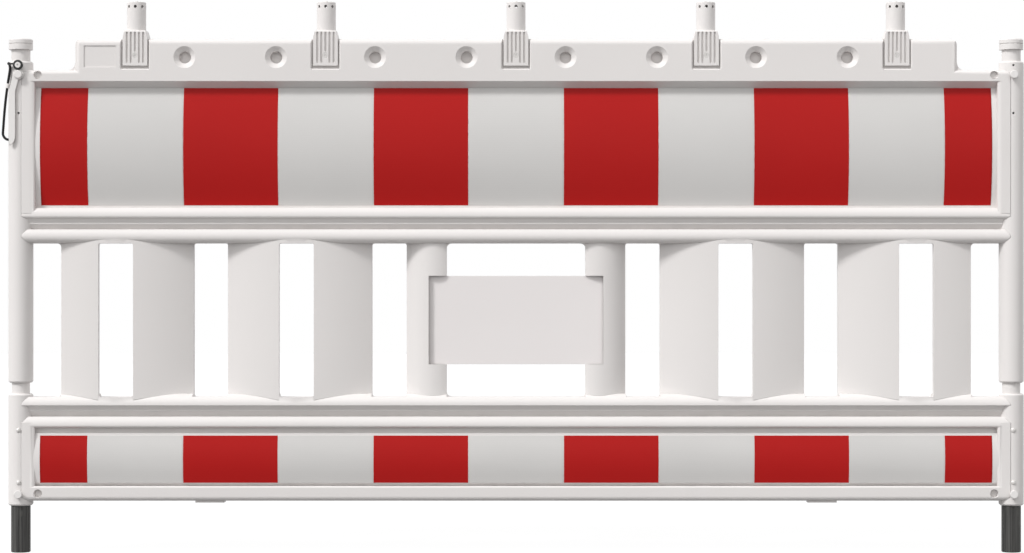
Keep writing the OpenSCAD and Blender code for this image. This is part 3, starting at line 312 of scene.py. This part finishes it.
# The cord, on the route that its solid follows, measured from the latch pin
PIN = Vector(frame["joints"][0]["pos_m"])
CORD_ANCHOR = Vector((PIN.x, 0.0, PIN.z))
CORD_D = 0.0055
CORD_ROUTE_MM = [
    (-18.5, -33.65, 22), (-18.5, -29.44, 21.16), (-18.5, -25.87, 18.78), (-18.5, -23.49, 15.21),
    (-18.5, -22.65, 11), (-20.87, -22.61, -3.91), (-23.16, -22.5, -18.82), (-25.29, -22.34, -33.73),
    (-27.22, -22.15, -48.64), (-28.9, -21.95, -63.56), (-30.35, -21.76, -78.47), (-31.59, -21.6, -93.38),
    (-32.68, -21.49, -108.29), (-33.68, -21.45, -123.2), (-32.64, -21.62, -128.48), (-29.69, -22.1, -132.96),
    (-25.27, -22.82, -135.95), (-20.06, -23.67, -137), (-17.1, -24.15, -137),
]
CORD_START_HEADING = Vector((0, 1, 0))
CORD_END_HEADING = Vector((0.987, -0.161, 0))
CORD_STEPS = 14
CORD_SIDES = 24
STRANDS = 3
STRAND_DEPTH = 0.04
LAY_LENGTH = 0.011


def spline(a, b, c, d, t):
    """The point at share t from b to c of a Catmull-Rom curve."""
    return b + t * ((c - a) / 2 + t * ((a - 2.5 * b + 2 * c - 0.5 * d) + t * (1.5 * (b - c) + (d - a) / 2)))


def cord_points():
    route = [CORD_ANCHOR + Vector(p) / 1000 for p in CORD_ROUTE_MM]
    last = len(route) - 1
    points = []
    for k in range(last):
        a, b, c, d = (route[max(0, min(last, k + j))] for j in (-1, 0, 1, 2))
        points += [spline(a, b, c, d, j / CORD_STEPS) for j in range(CORD_STEPS)]
    return points + [route[last]]


def twisted_tube(name, points):
    """A tube of three twisted strands along the points, closed at both ends."""
    side = Vector((0, 0, 1))
    travelled = 0.0
    rows = []
    for k, point in enumerate(points):
        if k == 0:
            heading = CORD_START_HEADING.normalized()
        elif k == len(points) - 1:
            heading = CORD_END_HEADING.normalized()
        else:
            heading = (points[k + 1] - points[k - 1]).normalized()
        side = (side - side.dot(heading) * heading).normalized()
        across = heading.cross(side)
        if k:
            travelled += (point - points[k - 1]).length
        twist = 2 * math.pi * travelled / LAY_LENGTH
        row = []
        for j in range(CORD_SIDES):
            angle = 2 * math.pi * j / CORD_SIDES
            lobe = abs(math.cos(STRANDS * (angle - twist) / 2))
            radius = CORD_D / 2 * (1 - STRAND_DEPTH * (1 - lobe) * 2)
            row.append(point + radius * (math.cos(angle) * side + math.sin(angle) * across))
        rows.append(row)
    vertices = [v for row in rows for v in row]
    faces = []
    for k in range(len(rows) - 1):
        for j in range(CORD_SIDES):
            a, b = k * CORD_SIDES + j, k * CORD_SIDES + (j + 1) % CORD_SIDES
            faces.append((a, b, b + CORD_SIDES, a + CORD_SIDES))
    faces.append(tuple(range(CORD_SIDES - 1, -1, -1)))
    faces.append(tuple(range(len(vertices) - CORD_SIDES, len(vertices))))
    mesh = bpy.data.meshes.new(name)
    mesh.from_pydata(vertices, [], faces)
    mesh.update()
    for polygon in mesh.polygons:
        polygon.use_smooth = True
    piece = bpy.data.objects.new(name, mesh)
    scene.collection.objects.link(piece)
    return piece


cord_line = cord_points()
cord = twisted_tube("lanyard_cord_strands", cord_line)
cord.data.materials.append(cord_black("cord_black"))
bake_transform(cord)
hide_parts("lanyard_cord")

# Finish of the solids
HARD_EDGE = math.radians(24)
SAME_POINT = 1e-6


def shade_curves(node):
    """Shades the facets of a curve as one round face, and leaves flat faces and hard edges as they are."""
    node.data.polygons.foreach_set("use_smooth", [True] * len(node.data.polygons))
    node.modifiers.new("joined", "WELD").merge_threshold = SAME_POINT
    split = node.modifiers.new("hard_edges", "EDGE_SPLIT")
    split.split_angle = HARD_EDGE
    split.use_edge_sharp = False
    node.modifiers.new("even_normals", "WEIGHTED_NORMAL").mode = "FACE_AREA"


for name, node in nodes.items():
    if name == "lanyard_cord":
        continue
    node.data.materials.clear()
    node.data.materials.append(PLATE_PAINTED_LIGHT_MATERIAL if name == "info_plate" else MATERIALS[slots[name]])
    shade_curves(node)


# Floor, world and lamps
def camera_mask(tree):
    """One for rays that show the background: from the camera, in gloss and through glass."""
    path = tree.nodes.new("ShaderNodeLightPath")
    total = path.outputs["Is Camera Ray"]
    for key in ("Is Glossy Ray", "Is Transmission Ray"):
        add = tree.nodes.new("ShaderNodeMath")
        add.operation = "MAXIMUM"
        tree.links.new(total, add.inputs[0])
        tree.links.new(path.outputs[key], add.inputs[1])
        total = add.outputs[0]
    return total


FLOOR_BOUNCE = 0.20
FLOOR_SHADE = 0.07
FLOOR_GLOW = 0.95


def floor_material():
    """Pale floor: it glows for the camera, takes a faint shadow and throws little light back."""
    material = bpy.data.materials.new("floor_pale")
    material.use_nodes = True
    tree = material.node_tree
    tree.nodes.clear()
    out = tree.nodes.new("ShaderNodeOutputMaterial")
    bounce = tree.nodes.new("ShaderNodeBsdfDiffuse")
    bounce.inputs["Color"].default_value = (FLOOR_BOUNCE, FLOOR_BOUNCE, FLOOR_BOUNCE, 1)
    shaded = tree.nodes.new("ShaderNodeBsdfDiffuse")
    shaded.inputs["Color"].default_value = (FLOOR_SHADE, FLOOR_SHADE, FLOOR_SHADE, 1)
    glow = tree.nodes.new("ShaderNodeEmission")
    glow.inputs["Strength"].default_value = FLOOR_GLOW
    seen = tree.nodes.new("ShaderNodeAddShader")
    tree.links.new(shaded.outputs[0], seen.inputs[0])
    tree.links.new(glow.outputs[0], seen.inputs[1])
    pick = tree.nodes.new("ShaderNodeMixShader")
    tree.links.new(camera_mask(tree), pick.inputs[0])
    tree.links.new(bounce.outputs[0], pick.inputs[1])
    tree.links.new(seen.outputs[0], pick.inputs[2])
    tree.links.new(pick.outputs[0], out.inputs["Surface"])
    return material


FLOOR_HALF = 14.0
floor_mesh = bpy.data.meshes.new("floor")
floor_corners = [(FLOOR_HALF * x, FLOOR_HALF * y, 0) for x, y in ((-1, -1), (1, -1), (1, 1), (-1, 1))]
floor_mesh.from_pydata(floor_corners, [], [(0, 1, 2, 3)])
floor = bpy.data.objects.new("floor", floor_mesh)
floor_mesh.materials.append(floor_material())
scene.collection.objects.link(floor)

# World: even light on the part, plain white for the camera
AMBIENT = 0.77
world = bpy.data.worlds.new("studio")
scene.world = world
world.use_nodes = True
world_tree = world.node_tree
background = world_tree.nodes["Background"]
background.inputs["Color"].default_value = (1, 1, 1, 1)
level = world_tree.nodes.new("ShaderNodeMapRange")
level.inputs["To Max"].default_value = 1.0
world_tree.links.new(camera_mask(world_tree), level.inputs["Value"])
# A little more light from the left than from the right
SIDE_FROM = Vector((-1.0, -0.2, 0.1)).normalized()
SIDE = 0.10
direction = world_tree.nodes.new("ShaderNodeTexCoord")
towards = world_tree.nodes.new("ShaderNodeVectorMath")
towards.operation = "DOT_PRODUCT"
towards.inputs[1].default_value = SIDE_FROM
world_tree.links.new(direction.outputs["Generated"], towards.inputs[0])
side = world_tree.nodes.new("ShaderNodeMapRange")
side.inputs["From Min"].default_value = -1.0
side.inputs["To Min"].default_value = AMBIENT - SIDE
side.inputs["To Max"].default_value = AMBIENT + SIDE
world_tree.links.new(towards.outputs["Value"], side.inputs["Value"])
world_tree.links.new(side.outputs["Result"], level.inputs["To Min"])
world_tree.links.new(level.outputs["Result"], background.inputs["Strength"])

# Soft key lamp from the upper left, and a weak fill from the front
KEY_FROM = Vector((-0.60, -0.475, 0.755))
KEY_STRENGTH = 2.3
KEY_ANGLE = 12
FILL_FROM = Vector((0.10, -0.98, 0.15))
FILL_STRENGTH = 0.36
FILL_ANGLE = 90


def soft_lamp(name, towards, strength, degrees):
    data = bpy.data.lights.new(name, "SUN")
    data.energy = strength
    data.angle = math.radians(degrees)
    lamp = bpy.data.objects.new(name, data)
    lamp.rotation_euler = towards.to_track_quat("Z", "Y").to_euler()
    scene.collection.objects.link(lamp)


soft_lamp("key", KEY_FROM, KEY_STRENGTH, KEY_ANGLE)
soft_lamp("fill", FILL_FROM, FILL_STRENGTH, FILL_ANGLE)

scene.view_settings.view_transform = "Standard"
